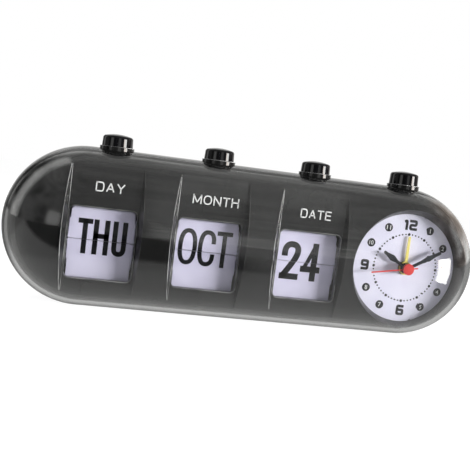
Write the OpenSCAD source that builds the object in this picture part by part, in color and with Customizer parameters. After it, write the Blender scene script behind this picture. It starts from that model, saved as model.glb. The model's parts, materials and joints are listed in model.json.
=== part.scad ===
/* [Body] */
// Outer radius of the capsule body
body_r = 33.75; // [33.5:0.25:35]
// Wall of the rear housing
housing_wall = 2; // [1.8:0.1:2.4]
// Wall of the clear dome
dome_wall = 2; // [1.8:0.1:2.2]
// Depth of the flat that is cut off the bottom to stand on
base_cut = 1.2; // [1:0.1:1.5]
// Thickness of the floor over the base flat
floor_t = 2; // [1.6:0.1:3]
// Distance from the long axis forward to the seam of dome and housing
seam_front = 9; // [8.8:0.1:9.6]
// Depth of the dome's tongue inside the housing mouth
tongue_len = 1.8; // [1.6:0.1:1.9]
// Thickness of the housing lip outside the tongue
lip_t = 0.9; // [0.7:0.05:1.1]
// Clearance between pieces that are fitted together and stay put
fit_gap = 0.1; // [0.05:0.01:0.2]
// Clearance round pieces that slide or turn
run_gap = 0.05; // [0.02:0.01:0.1]

/* [Layout] */
// Distance between neighbouring calendar columns
module_pitch = 44; // [44:0.5:48]
// Distance from the left end's centre to the day column
left_run = 7.4; // [6:0.2:9]
// Distance from the date column to the centre of the dial
dial_pitch = 46.7; // [46.5:0.1:49]
// How far the dial's centre lies past the right end's centre
dial_run = 0.5; // [0:0.1:0.6]
// How far the dial's centre lies below the long axis
dial_drop = 2.2; // [1.8:0.1:2.3]
// How far the cards' split line lies below the long axis
split_drop = 3.7; // [3:0.1:4.5]

/* [Front panel] */
// Front of the crowned panel, forward of the long axis
panel_front = 17.2; // [17:0.1:18]
// Radius of the panel's crown
crown_r = 146; // [130:1:180]
// Width of the bevel round the panel's rim
rim_w = 2.2; // [1.8:0.1:2.4]
// Distance from the dome's inside to the panel's side wall
panel_inset = 3.35; // [3.2:0.05:3.8]
// Wall of the panel's skirt
skirt_t = 1.6; // [1.2:0.1:1.8]
// Length of the skirt behind the panel's back
skirt_len = 4.3; // [4:0.1:4.4]
// Width of the flat floor of a calendar column
column_w = 28.4; // [28:0.1:29]
// Flat floor of the columns, forward of the long axis
column_floor = 14.5; // [14.2:0.1:14.8]
// Slope of a column's side walls, in mm across per mm deep
column_slope = 0.7; // [0.5:0.05:0.9]
// Thickness of the panel behind a column's floor
panel_t = 2.2; // [2:0.1:2.3]
// Width of a card window
window_w = 27.1; // [26.5:0.1:27.4]
// Height of a card window above the split line
window_up = 12.7; // [12.2:0.1:13]
// Height of a card window below the split line
window_down = 16.2; // [15.5:0.1:17]
// Corner radius of a card window
window_r = 2; // [1:0.1:2.5]
// Radius of the dial opening
dial_r = 24.2; // [23.5:0.1:24.4]
// How much the dial opening widens from the dial to the panel's front
dial_flare = 2.6; // [0:0.1:2.8]

/* [Cards] */
// Number of day cards on the drum, each day four times
day_count = 28; // [28:7:28]
// Number of month cards on the drum, each month twice
month_count = 24; // [24:12:24]
// Number of date cards on the drum
date_count = 31; // [31:1:31]
// Thickness of a card
card_t = 0.25; // [0.2:0.01:0.26]
// Gap beside a card in its window
card_side_gap = 0.2; // [0.15:0.05:0.4]
// Gap over a standing card in its window
card_top_gap = 0.5; // [0.4:0.1:1]
// How much narrower a card is on each side beyond its shoulder
card_step = 0.45; // [0.3:0.05:0.8]
// Distance from the hinge to the card's shoulder
card_shoulder = 7.7; // [6:0.1:9]
// Corner radius of a card
card_r = 1.5; // [1:0.1:2]
// Distance from the panel's back to the hinge of the front card
card_clear = 1.25; // [1.2:0.05:1.4]
// Height of a card's hinge tab
tab_h = 0.5; // [0.4:0.05:0.55]
// How far a card's edge reaches past its hinge
card_root = 0.55; // [0.3:0.05:0.6]

/* [Drums] */
// Radius of the circle of hinge holes in a drum
hinge_r = 7.5; // [7.4:0.05:7.7]
// Radius of a hinge hole
hinge_hole_r = 0.5; // [0.48:0.01:0.52]
// How far the front card's hinge lies outside the circle
front_out = 0.15; // [0.14:0.01:0.18]
// How far the other cards' hinges lie inside the circle
rest_in = 0.1; // [0.08:0.01:0.14]
// Rim of a drum disc outside the hinge circle
disc_rim = 0.9; // [0.8:0.05:0.95]
// Thickness of a drum disc
disc_t = 1; // [0.8:0.1:1.2]
// Gap between a window's edge line and the disc beside it
disc_gap = 0.35; // [0.3:0.05:0.45]
// Radius of the drum's core
core_r = 3; // [2.5:0.1:4]
// Radius of the steel drum shaft
shaft_r = 1.2; // [1:0.1:1.5]
// Thickness of the ratchet wheel
ratchet_t = 2; // [1.8:0.1:2.2]
// Depth of the ratchet teeth
tooth_depth = 1.1; // [0.9:0.05:1.15]

/* [Cages] */
// Gap between the ratchet wheel and the cage
cage_gap = 0.5; // [0.4:0.1:0.7]
// Thickness of a cage plate
cage_t = 1.4; // [1.2:0.1:1.6]
// Width of a cage's screw flange
flange_w = 2.5; // [2.4:0.1:2.6]
// Thickness of a cage's screw flange
flange_t = 1.5; // [1.2:0.1:2]
// Half the height of a cage plate at the front
cage_half = 6; // [5:0.1:7]
// Radius of the bar that joins the two plates of a cage
bar_r = 1.4; // [1.2:0.1:1.6]
// Gap between the longest card and the bar
bar_gap = 0.6; // [0.5:0.1:1]
// Radius of a cage screw's shank
cage_screw_r = 0.8; // [0.7:0.05:0.9]
// Length of a cage screw's shank in the panel
cage_screw_len = 2; // [1.5:0.1:2.2]

/* [Buttons] */
// Travel of a button
press = 1.8; // [1.7:0.05:1.85]
// Radius of a button at the body
button_r = 6.6; // [6:0.1:6.8]
// Radius of a button near its top
button_top_r = 6.35; // [5.5:0.05:6.5]
// Height of a calendar button over the body
button_h = 6.4; // [5:0.1:8]
// Height of the alarm button over the body
alarm_button_h = 7.2; // [6:0.1:9]
// Rounding of a button's top edge
button_edge = 1.2; // [1:0.1:2.4]
// Radius of a button's crowned top
button_crown = 20; // [11:1:24]
// Gap between a button and its hole
button_gap = 0.25; // [0.2:0.05:0.5]
// Wall of the collar round a button
collar_wall = 0.4; // [0.35:0.05:0.8]
// Height of the collar over the body
collar_h = 1; // [0.5:0.1:1.2]
// Width of the flange that keeps a button in
button_flange = 0.9; // [0.7:0.1:1]
// Thickness of the button's flange
button_flange_t = 1; // [0.8:0.1:1.2]
// Gap between the flange and the housing above it
flange_gap = 0.75; // [0.7:0.05:0.9]
// How far a calendar button stands to the right of its column
button_run = 2.5; // [1:0.1:4]
// How far the alarm button stands to the left of the dial
alarm_button_run = 1.7; // [0:0.1:3]
// Radius of a button's stem
stem_r = 1.9; // [1.6:0.1:2.1]
// Depth of the stem inside a button
stem_in = 4; // [3:0.1:4.5]
// Height of a return spring at rest
spring_h = 3.9; // [3.7:0.1:4.2]
// Radius of a spring's coil
spring_r = 3.4; // [3.2:0.1:3.8]
// Thickness of a spring's wire
wire_d = 0.4; // [0.35:0.05:0.45]
// Turns of a return spring
spring_turns = 4; // [3:1:4]
// Width of the rail that guides the stems
rail_w = 9; // [8.6:0.1:10]
// Thickness of the rail
rail_t = 1.6; // [1.4:0.1:2]
// How far the rail runs past the outer stems
rail_over = 6; // [5:0.1:8]
// Radius of the posts that carry the rail
rail_post_r = 3; // [2.5:0.1:3.5]
// Thickness of a pusher's arm
arm_t = 2; // [1.6:0.1:2.2]
// Width of a pusher's arm
arm_w = 3.2; // [2.6:0.1:4]
// Gap between the rail and a pusher's arm
arm_drop = 2.6; // [2.2:0.1:3]
// Thickness of a pusher's leg
leg_t = 1.1; // [0.9:0.05:1.15]
// Gap between a pusher's leg and the ratchet teeth
pawl_gap = 0.35; // [0.3:0.05:0.4]
// Gap between the pawl and its tooth at rest
pawl_rest = 0.1; // [0.08:0.01:0.14]
// Gap beside a pusher's leg
leg_side_gap = 0.3; // [0.2:0.05:0.4]
// Room for the ratchet and pawl in the panel's back
pocket_gap = 0.4; // [0.35:0.05:0.45]

/* [Clock] */
// Face of the dial, forward of the long axis
dial_face = 10.2; // [9.8:0.1:10.4]
// Thickness of the dial plate
dial_t = 0.8; // [0.6:0.1:1.2]
// How far the dial plate reaches past its opening
dial_lap = 1.1; // [0.8:0.1:1.2]
// Width of the movement's case
movement_w = 40; // [38:0.5:40.5]
// Height of the movement's case
movement_h = 38; // [36:0.5:38]
// Corner radius of the movement's case
movement_r = 8; // [8:0.5:12]
// Depth of the movement's case
movement_d = 16.8; // [15:0.1:17.5]
// Length of the alarm's contact strip
strip_len = 8; // [6:0.5:10]
// Width of the alarm's contact strip
strip_w = 3; // [2:0.1:4]
// Thickness of the alarm's contact strip
strip_t = 0.4; // [0.3:0.05:0.5]
// Gap between the alarm's stem and the strip when the button is down
strip_gap = 0.24; // [0.2:0.01:0.3]
// Radius of the second hand's arbor
arbor_r = 0.6; // [0.5:0.05:0.65]
// Wall of the pipes round the arbor
pipe_wall = 0.55; // [0.5:0.05:0.6]
// Depth of the pipes inside the movement
pipe_in = 4; // [3:0.1:6]
// Thickness of a hand
hand_t = 0.35; // [0.25:0.05:0.4]
// Height of the alarm hand over the dial
hand_first = 0.7; // [0.5:0.1:0.9]
// Step from one hand to the next
hand_step = 1; // [0.9:0.05:1.1]
// Wall of a hand's boss round its pipe
boss_wall = 0.6; // [0.5:0.05:0.8]
// Width of the hour and minute hands beside the lozenge
hand_w = 1.4; // [1:0.1:1.6]
// Width of the hour hand's lozenge
hour_w = 2.9; // [2.4:0.1:3.4]
// Width of the minute hand's lozenge
minute_w = 2.5; // [2:0.1:3]
// Length of the hour hand
hour_len = 13.2; // [11:0.1:14]
// Length of the minute hand
minute_len = 17.7; // [15:0.1:20]
// Length of the second hand
second_len = 17; // [14:0.1:20]
// Length of the second hand's tail
second_tail = 4.8; // [3:0.1:6]
// Width of the alarm hand at its boss
alarm_root_w = 1.5; // [1.2:0.1:2]
// Width of the alarm hand at its tip
alarm_tip_w = 1; // [0.8:0.1:1.4]
// Length of the alarm hand
alarm_len = 14.3; // [12:0.1:18]
// Radius of the second hand's cap
cap_r = 2.5; // [2.4:0.05:3]
// Height of the second hand's cap
cap_h = 1.2; // [0.8:0.1:1.6]
// Angle of the hour hand from twelve
hour_angle = 300; // [0:1:360]
// Angle of the minute hand from twelve
minute_angle = 60; // [0:1:360]
// Angle of the second hand from twelve
second_angle = 260; // [0:1:360]
// Angle of the alarm hand from twelve
alarm_angle = 0; // [0:1:360]

/* [Rear controls] */
// Radius of the recess in the rear that holds the controls
well_r = 18; // [17:0.5:18.5]
// Wall round the recess
well_wall = 1.6; // [1.4:0.1:2]
// Depth behind the long axis of the recess floor's inside
well_in = 11; // [10.8:0.1:12]
// Thickness of the recess floor
well_t = 1.6; // [1.4:0.1:2]
// Radius of a setting knob
knob_r = 5; // [4:0.1:5.5]
// Height of a setting knob
knob_h = 6; // [4:0.1:7]
// Distance of a setting knob from the middle of the recess
knob_run = 8; // [7:0.1:9]
// Height of the setting knobs below the dial's centre
knob_drop = 1; // [0.5:0.1:2]
// Radius of a setting knob's shaft
knob_shaft_r = 1.5; // [1.2:0.1:1.8]
// Depth of a knob's shaft inside the movement
knob_shaft_in = 3; // [2:0.1:4]
// Gap between a knob and the recess floor
knob_gap = 0.3; // [0.2:0.05:0.5]
// Ribs round a setting knob
knob_ribs = 18; // [12:1:24]
// Height of the alarm switch's grip
switch_rise = 2.6; // [2:0.1:3]
// Width of the alarm switch's thumb piece
switch_w = 5; // [4:0.1:6]
// Height of the alarm switch's thumb piece
switch_h = 3; // [2.6:0.1:4]
// Travel of the alarm switch
switch_travel = 4; // [3:0.1:5]
// Distance of the alarm switch below the dial's centre
switch_drop = 10; // [9.5:0.1:11]
// Distance of the buzzer above the dial's centre
buzzer_rise = 9.5; // [9:0.1:9.8]
// Radius of the buzzer
buzzer_r = 7; // [6:0.1:7.2]
// Thickness of the buzzer
buzzer_t = 2.5; // [2:0.1:2.8]
// Radius of a sound hole
sound_r = 0.8; // [0.6:0.1:1]
// Radius of the pegs that carry the movement
peg_r = 2; // [1.6:0.1:2.2]

/* [Battery] */
// Radius of the battery
cell_r = 5.25; // [5.25:0.05:5.3]
// Length of the battery
cell_len = 44.5; // [44:0.1:44.8]
// Length of the battery's nub
cell_nub = 0.8; // [0.6:0.1:1]
// Room for a contact at each end of the battery
contact_room = 2.6; // [2.4:0.1:3]
// Gap round the battery in its tray
cell_gap = 0.5; // [0.3:0.05:0.6]
// Wall of the battery tray
tray_wall = 1.2; // [1:0.1:1.4]
// Gap between the cards and the battery tray
tray_gap = 0.8; // [0.6:0.1:1]
// Gap round the battery door
door_gap = 0.3; // [0.2:0.05:0.4]
// Thickness of a contact's strip
contact_t = 0.5; // [0.4:0.1:0.6]

/* [Case screws] */
// Radius of a case screw's shank
screw_r = 1.25; // [1.2:0.05:1.3]
// Radius of a case screw's head
head_r = 2.7; // [2.5:0.1:2.8]
// Height of a case screw's head
head_h = 2; // [1.6:0.1:2.4]
// Length of a case screw under its head
screw_len = 18; // [16:0.5:20]
// Depth behind the long axis where the posts of panel and housing meet
post_meet = 8; // [6:0.5:9]
// Depth behind the long axis of the seat of a screw's head
head_seat = 19.5; // [19:0.1:21]
// Radius of the posts between the columns
post_r = 2.6; // [2.3:0.1:2.8]
// Wall of the posts round the heads
post_wall = 1.1; // [0.9:0.1:1.3]
// Height of the posts above and below the long axis
post_rise = 17; // [16:0.1:18]
// Depth of the screw holes in the panel's posts
pilot_depth = 10; // [9:0.5:11]
// Depth of a rail screw in its post
rail_screw_in = 3.5; // [3:0.1:3.8]

/* [Hidden] */
$fn = 64;
end_x = (left_run + 2 * module_pitch + dial_pitch - dial_run) / 2;
body_len = 2 * (end_x + body_r);
axis_z = body_r - base_cut;
inner_r = body_r - housing_wall;
dome_in = body_r - dome_wall;
day_x = left_run - end_x;
month_x = day_x + module_pitch;
date_x = month_x + module_pitch;
dial_x = date_x + dial_pitch;
split_z = axis_z - split_drop;
mouth_r = sqrt(body_r * body_r - seam_front * seam_front);
tongue_r = mouth_r - lip_t;
tongue_in_r = sqrt(dome_in * dome_in - seam_front * seam_front);
panel_r = dome_in - panel_inset;
panel_back = column_floor - panel_t;
rim_x = panel_r - rim_w;
rim_f = panel_front - crown_r + sqrt(crown_r * crown_r - rim_x * rim_x) - rim_w;
skirt_end = panel_back - skirt_len;
flange_r = sqrt(dome_in * dome_in - pow(skirt_end + skirt_t, 2)) - 2 * fit_gap;
card_len = window_up - card_top_gap;
card_root_w = window_w - 2 * card_side_gap;
card_tip_w = card_root_w - 2 * card_step;
front_r = hinge_r + front_out;
rest_r = hinge_r - rest_in;
drum_f = panel_back - card_clear - front_r;
disc_r = hinge_r + disc_rim;
disc_x = window_w / 2 + disc_gap;
tab_x = disc_x + 0.8 * disc_t;
drum_half = disc_x + disc_t;
ratchet_x = drum_half + ratchet_t;
cage_x = ratchet_x + cage_gap;
cage_out = cage_x + cage_t;
bar_reach = front_r + card_len + bar_gap + bar_r;
leg_x = drum_half + leg_side_gap;
leg_w = ratchet_t - 2 * leg_side_gap;
pocket_f = drum_f + tooth_out(date_count) + pawl_gap + leg_t + pocket_gap;
button_top = axis_z + body_r;
hole_r = button_r + button_gap;
keep_r = hole_r + button_flange;
keep_z = axis_z + sqrt(inner_r * inner_r - keep_r * keep_r) - flange_gap;
button_z = keep_z - button_flange_t;
rail_z = button_z - spring_h - rail_t;
arm_z = rail_z - arm_drop - arm_t;
stem_top = button_z + stem_in;
alarm_x = dial_x - alarm_button_run;
button_xs = [day_x + button_run, month_x + button_run, date_x + button_run, alarm_x];
rail_x0 = button_xs[0] - rail_over;
rail_x1 = alarm_x + rail_over;
mid_x = day_x + module_pitch / 2;
gap_x = (date_x + cage_out + dial_x - movement_w / 2) / 2;
rail_post_xs = [mid_x, gap_x];
post_xs = [mid_x, gap_x];
dial_a = -dial_drop;
strip_z = axis_z + dial_a + movement_h / 2;
dial_back = dial_face - dial_t;
movement_back = dial_back - movement_d;
seat_r = dial_r + dial_lap;
pipe_rs = [for (i = [0:3]) arbor_r + i * (pipe_wall + run_gap)];
hand_fs = [for (i = [0:3]) dial_face + hand_first + (3 - i) * hand_step];
well_floor = well_in + well_t;
knob_y = well_floor + knob_gap;
tray_len = cell_len + 2 * contact_room;
tray_half = cell_r + cell_gap;
tray_in = front_r + card_len - drum_f + tray_gap + tray_wall;
cell_y = tray_in + cell_gap + cell_r;
post_big_r = head_r + fit_gap + post_wall;

// Angle of one card on a drum
function step(count) = 360 / count;
// Radius at which a tooth moves as far as the button for one card
function pitch_r(count) = press * count / (2 * PI);
function tooth_out(count) = pitch_r(count) + tooth_depth / 2;
function tooth_in(count) = pitch_r(count) - tooth_depth / 2;

// Draws in the plane across the body, x to the rear and y up from the long axis
module side(x, width) {
    translate([x, 0, axis_z]) rotate([90, 0, 90]) linear_extrude(width) children();
}

// Draws in the front plane, x to the right and y up from the long axis, from depth f forward
module front(f, depth) {
    translate([0, -f, axis_z]) rotate([90, 0, 0]) linear_extrude(depth) children();
}

module capsule(r) {
    translate([0, 0, axis_z]) rotate([0, 90, 0]) rotate_extrude($fn = 96) intersection() {
        union() {
            translate([0, -end_x]) square([r, 2 * end_x]);
            for (x = [-end_x, end_x]) translate([0, x]) circle(r, $fn = 96);
        }
        translate([0, -end_x - r]) square([r, 2 * (end_x + r)]);
    }
}

module stadium(r) {
    square([2 * end_x, 2 * r], center = true);
    for (x = [-end_x, end_x]) translate([x, 0]) circle(r);
}

// Sweeps a profile of radius and forward distance round the stadium outline
module sweep_pill() {
    translate([0, 0, axis_z]) {
        for (s = [0, 1]) mirror([s, 0, 0]) translate([end_x, 0, 0])
            rotate([90, 0, 0]) rotate([0, 0, -90]) rotate_extrude(angle = 180, $fn = 96) children();
        translate([-end_x, 0, 0]) rotate([90, 0, 90]) linear_extrude(2 * end_x) rotate(90) {
            children();
            mirror([1, 0]) children();
        }
    }
}

module rounded(w, h, r) {
    square([w, h - 2 * r], center = true);
    square([w - 2 * r, h], center = true);
    for (x = [-1, 1], y = [-1, 1]) translate([x * (w / 2 - r), y * (h / 2 - r)]) circle(r);
}

module ring(outer, inner) {
    difference() {
        circle(outer);
        circle(inner);
    }
}

// Everything in front of the seam
module front_half(f) {
    translate([-body_len, -f - body_len, -body_len]) cube([2 * body_len, body_len, 2 * body_len]);
}

module at_posts() {
    for (x = post_xs, s = [-1, 1]) translate([x, s * post_rise]) children();
}

module tray_outline(grow) {
    square([tray_len + 2 * grow, 2 * (tray_half + grow)], center = true);
}

module rear_housing() {
    color("#101010") difference() {
        union() {
            difference() {
                capsule(body_r);
                intersection() {
                    capsule(inner_r);
                    translate([-body_len, -body_len, floor_t]) cube(2 * body_len);
                }
            }
            intersection() {
                capsule(inner_r + housing_wall / 4);
                union() {
                    front(-body_r, body_r - post_meet) at_posts() circle(post_r);
                    front(-body_r, body_r - head_seat + post_wall) at_posts() circle(post_big_r);
                    for (x = rail_post_xs) translate([x, 0, rail_z + rail_t])
                        cylinder(r = rail_post_r, h = body_r);
                    front(-body_r, body_r - well_in) translate([dial_x, dial_a])
                        circle(well_r + well_wall);
                    front(-well_in - well_t / 2, well_in + well_t / 2 + movement_back)
                        for (s = [-1, 1]) translate([dial_x + s * movement_w * 0.36, dial_a])
                            circle(peg_r);
                }
            }
            intersection() {
                capsule(inner_r);
                front(-body_r, body_r - tray_in + tray_wall) translate([mid_x, 0])
                    tray_outline(2 * tray_wall);
            }
            for (x = button_xs) translate([x, 0, button_top - housing_wall / 2])
                cylinder(r = hole_r + collar_wall, h = housing_wall / 2 + collar_h);
        }
        front_half(seam_front);
        translate([-body_len, -body_len, -2 * body_len]) cube(2 * body_len);
        front(seam_front - tongue_len - fit_gap, body_r) stadium(tongue_r + fit_gap);
        for (x = button_xs) translate([x, 0, axis_z]) cylinder(r = hole_r, h = 2 * body_r);
        front(-2 * body_r, 2 * body_r - tray_in) translate([mid_x, 0]) tray_outline(0);
        difference() {
            front(-2 * body_r, 2 * body_r - tray_in) translate([mid_x, 0]) tray_outline(tray_wall);
            capsule(inner_r);
        }
        front(-body_r, body_r) at_posts() circle(screw_r + fit_gap);
        front(-2 * body_r, 2 * body_r - head_seat) at_posts() circle(head_r + fit_gap);
        for (x = rail_post_xs) translate([x, 0, rail_z])
            cylinder(r = cage_screw_r, h = rail_t + rail_screw_in + 0.5);
        front(-2 * body_r, 2 * body_r - well_floor) translate([dial_x, dial_a]) circle(well_r);
        front(-well_floor - 1, well_t + 2) translate([dial_x, dial_a]) {
            for (s = [-1, 1]) translate([s * knob_run, -knob_drop]) circle(knob_shaft_r + button_gap);
            translate([0, -switch_drop])
                square([switch_travel + switch_w - 1, switch_h / 2 + 2 * door_gap], center = true);
            for (a = [0:60:300]) translate([0, buzzer_rise]) rotate(a) translate([4 * sound_r, 0])
                circle(sound_r);
        }
    }
}

module front_dome() {
    color("#e8f0f4", 0.3) union() {
        difference() {
            intersection() {
                capsule(body_r);
                front_half(seam_front);
            }
            capsule(dome_in);
        }
        front(seam_front - tongue_len, tongue_len + lip_t / 2) difference() {
            stadium(tongue_r);
            stadium(tongue_in_r);
        }
    }
}

module panel_profile() {
    intersection() {
        translate([0, panel_front - crown_r]) circle(crown_r, $fn = 360);
        polygon([[0, panel_back], [panel_r, panel_back], [panel_r, rim_f], [0, rim_f + panel_r]]);
    }
    translate([panel_r - skirt_t, skirt_end]) square([skirt_t, panel_back - skirt_end + skirt_t / 4]);
    translate([panel_r - skirt_t, skirt_end]) square([flange_r - panel_r + skirt_t, skirt_t]);
}

module column_cut() {
    deep = panel_front - column_floor + 1;
    half = column_w / 2;
    polygon([[-half, 0], [half, 0], [half + deep * column_slope, -deep], [-half - deep * column_slope, -deep]]);
}

module front_panel() {
    window_h = window_up + window_down;
    color("#181818") difference() {
        union() {
            sweep_pill() panel_profile();
            front(-post_meet, post_meet + panel_back + panel_t / 2) at_posts() circle(post_r);
            intersection() {
                front(dial_face, panel_back - dial_face + 1) translate([dial_x, dial_a])
                    circle(seat_r + fit_gap);
                front(0, panel_front) stadium(panel_r - skirt_t / 2);
            }
        }
        for (x = [day_x, month_x, date_x]) {
            translate([x, -column_floor, 0]) linear_extrude(2 * body_r) column_cut();
            front(panel_back - 1, body_r) translate([x, (window_up - window_down) / 2 - split_drop])
                rounded(window_w, window_h, window_r);
            front(panel_back - 1, pocket_f - panel_back + 1)
                translate([x - ratchet_x, -split_drop - 2 * cage_half])
                square([ratchet_t, arm_z + arm_t - axis_z + split_drop + 2 * cage_half + 1]);
            for (s = [-1, 1], t = [-1, 1]) front(panel_back - 1, cage_screw_len + 1.3)
                cage_hole(x, s, t) circle(cage_screw_r);
        }
        front(0, body_r) translate([dial_x, dial_a]) circle(dial_r);
        translate([dial_x, -dial_face, axis_z + dial_a]) rotate([90, 0, 0])
            cylinder(r1 = dial_r, r2 = dial_r + dial_flare, h = panel_front - dial_face);
        front(skirt_end - 1, dial_face - skirt_end + 1) translate([dial_x, dial_a])
            circle(seat_r + fit_gap);
        front(-post_meet - 1, pilot_depth + 1) at_posts() circle(screw_r - 0.15);
    }
}

// Place of a cage screw, s for the side and t for up or down
module cage_hole(x, s, t) {
    translate([x + s * (cage_out + flange_w / 2), t * (cage_half - flange_w / 2) - split_drop]) children();
}

module cage(x) {
    color("#303030") union() {
        for (s = [-1, 1]) {
            side(s > 0 ? x + cage_x : x - cage_out, cage_t) translate([-drum_f, -split_drop]) difference() {
                polygon([
                    [drum_f - panel_back, cage_half], [drum_f - panel_back, -cage_half],
                    [bar_reach * 0.55, -bar_reach * 0.86], [bar_reach * 0.86, -bar_reach * 0.62],
                    [cage_half, cage_half]]);
                circle(shaft_r + 0.4 * run_gap);
            }
            front(panel_back - flange_t, flange_t) difference() {
                translate([x + (s > 0 ? cage_x : -cage_out - flange_w), -split_drop - cage_half])
                    square([cage_t + flange_w, 2 * cage_half]);
                for (t = [-1, 1]) cage_hole(x, s, t) circle(cage_screw_r + fit_gap);
            }
        }
        side(x - cage_out, 2 * cage_out)
            translate([bar_reach * 0.7 - drum_f, -bar_reach * 0.71 - split_drop]) circle(bar_r);
    }
}

module cage_screws() {
    color("#b8b8b8") for (x = [day_x, month_x, date_x], s = [-1, 1], t = [-1, 1]) {
        front(panel_back - flange_t, flange_t + cage_screw_len) cage_hole(x, s, t)
            circle(cage_screw_r - run_gap);
        front(panel_back - flange_t - 0.8, 0.8) cage_hole(x, s, t) circle(flange_w / 2 - fit_gap);
    }
}

module drum_shaft(x) {
    color("#c8c8c8") side(x - cage_out, 2 * cage_out) translate([-drum_f, -split_drop]) circle(shaft_r);
}

// Sawtooth wheel whose steep faces look up at the front
module ratchet(count) {
    polygon([for (i = [0:count - 1], r = [tooth_out(count), tooth_in(count)])
        let (a = 180 - (i + 0.5) * step(count)) [r * cos(a), r * sin(a)]]);
}

module drum(x, count) {
    color("#e0e0e0") translate([0, -drum_f, -split_drop]) {
        difference() {
            union() {
                side(x - ratchet_x, ratchet_t) ratchet(count);
                side(x - drum_half, 2 * drum_half) circle(core_r);
                for (dx = [-drum_half, disc_x]) side(x + dx, disc_t) difference() {
                    circle(disc_r);
                    for (i = [0:count - 1]) rotate(180 - i * step(count)) translate([hinge_r, 0])
                        circle(hinge_hole_r);
                }
            }
            side(x - ratchet_x - 1, 2 * ratchet_x + 2) circle(shaft_r + run_gap);
        }
    }
}

module card_outline() {
    translate([-tab_x, -tab_h / 2]) square([2 * tab_x, tab_h]);
    translate([-card_root_w / 2, -card_root]) square([card_root_w, card_root + card_shoulder]);
    translate([-card_tip_w / 2, 0]) square([card_tip_w, card_len - card_r]);
    translate([card_r - card_tip_w / 2, 0]) square([card_tip_w - 2 * card_r, card_len]);
    for (s = [-1, 1]) translate([s * (card_tip_w / 2 - card_r), card_len - card_r]) circle(card_r);
}

// A card hinged on the drum, turned round by angle and fallen forward by lean
module card(x, r, angle, lean) {
    translate([x, -drum_f, split_z]) rotate([angle, 0, 0]) translate([0, -r, 0]) rotate([lean, 0, 0])
        translate([0, card_t / 2, 0]) rotate([90, 0, 0]) linear_extrude(card_t) card_outline();
}

module cards(x, count) {
    color("white") for (k = [1:count - 1])
        card(x, rest_r, k * step(count),
            180 - step(count) - (k - 1) / (count - 2) * (180 - 1.5 * step(count)));
}

module flip_card(x) {
    color("white") card(x, front_r, 0, 0);
}

module button(x, height) {
    top = button_top + height - button_z;
    seat = button_top - button_z;
    inset = button_top_r - button_edge;
    edge_z = top - button_crown + sqrt(pow(button_crown - button_edge, 2) - inset * inset);
    touch = inset * button_crown / (button_crown - button_edge);
    color("#0c0c0c") translate([x, 0, button_z]) rotate_extrude() difference() {
        union() {
            square([keep_r - fit_gap, button_flange_t]);
            polygon([[0, 0], [button_r, 0], [button_r, seat], [button_top_r, edge_z], [0, edge_z]]);
            translate([inset, edge_z]) circle(button_edge);
            intersection() {
                translate([0, top - button_crown]) circle(button_crown, $fn = 180);
                square([touch, top]);
            }
        }
        translate([0, -1]) square([stem_r + fit_gap / 4, stem_in + 1]);
    }
}

module pusher(x, count) {
    stem_x = x + button_run;
    leg = x - leg_x - leg_w;
    leg_f = drum_f + tooth_out(count) + pawl_gap;
    nose = tooth_out(count) * sin(step(count) / 2) + pawl_rest - split_drop;
    nose_f = drum_f + pitch_r(count) - 0.15;
    color("#404040") union() {
        translate([stem_x, 0, arm_z]) cylinder(r = stem_r, h = stem_top - arm_z);
        translate([leg, -arm_w / 2, arm_z]) cube([stem_x - leg, arm_w, arm_t]);
        translate([leg, -leg_f - leg_t, arm_z]) cube([leg_w, leg_f + leg_t, arm_t]);
        side(leg, leg_w) polygon([
            [-leg_f - leg_t, nose], [-nose_f, nose], [-leg_f, nose + 1.4],
            [-leg_f, arm_z - axis_z + arm_t / 2], [-leg_f - leg_t, arm_z - axis_z + arm_t / 2]]);
    }
}

module alarm_pusher() {
    low = strip_z + strip_t + press + strip_gap;
    color("#404040") translate([alarm_x, 0, low]) cylinder(r = stem_r, h = stem_top - low);
}

// Coil of round wire with flat closed ends, swept as one tube
module coil(r, wire, height, turns) {
    sides = 6;
    rings = 8 * turns;
    rise = height - wire - 2 * fit_gap;
    points = [for (i = [0:rings], j = [0:sides - 1])
        let (t = 360 * i / 8, c = r + wire / 2 * cos(360 * j / sides))
        [c * cos(t), c * sin(t), height / 2 - rise / 2 + rise * i / rings + wire / 2 * sin(360 * j / sides)]];
    sheet = [for (i = [0:rings - 1], j = [0:sides - 1], h = [0, 1])
        let (a = i * sides + j, b = i * sides + (j + 1) % sides)
        h == 0 ? [a, a + sides, b] : [b, a + sides, b + sides]];
    caps = [for (j = [1:sides - 2]) each [[0, j, j + 1],
        [rings * sides, rings * sides + j + 1, rings * sides + j]]];
    echo("least gap between turns", rise / turns - wire);
    polyhedron(points, concat(sheet, caps));
}

module spring(x) {
    color("#c0c0c0") translate([x, 0, rail_z + rail_t]) coil(spring_r, wire_d, spring_h, spring_turns);
}

module button_rail() {
    color("#303030") difference() {
        translate([rail_x0, -rail_w / 2, rail_z]) cube([rail_x1 - rail_x0, rail_w, rail_t]);
        for (x = button_xs) translate([x, 0, rail_z - 1]) cylinder(r = stem_r + run_gap, h = rail_t + 2);
        for (x = rail_post_xs) translate([x, 0, rail_z - 1])
            cylinder(r = cage_screw_r + fit_gap, h = rail_t + 2);
    }
}

module rail_screws() {
    color("#b8b8b8") for (x = rail_post_xs) {
        translate([x, 0, rail_z]) cylinder(r = cage_screw_r - run_gap, h = rail_t + rail_screw_in);
        translate([x, 0, rail_z - 1]) cylinder(r = 2 * cage_screw_r, h = 1);
    }
}

module case_screws() {
    color("#b8b8b8") {
        front(-head_seat, screw_len) at_posts() circle(screw_r - 0.2);
        front(-head_seat - head_h, head_h) at_posts() circle(head_r);
    }
}

module dial_plate() {
    color("white") front(dial_back, dial_t) translate([dial_x, dial_a])
        ring(seat_r, pipe_rs[3] + pipe_wall + 4 * run_gap);
}

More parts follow.
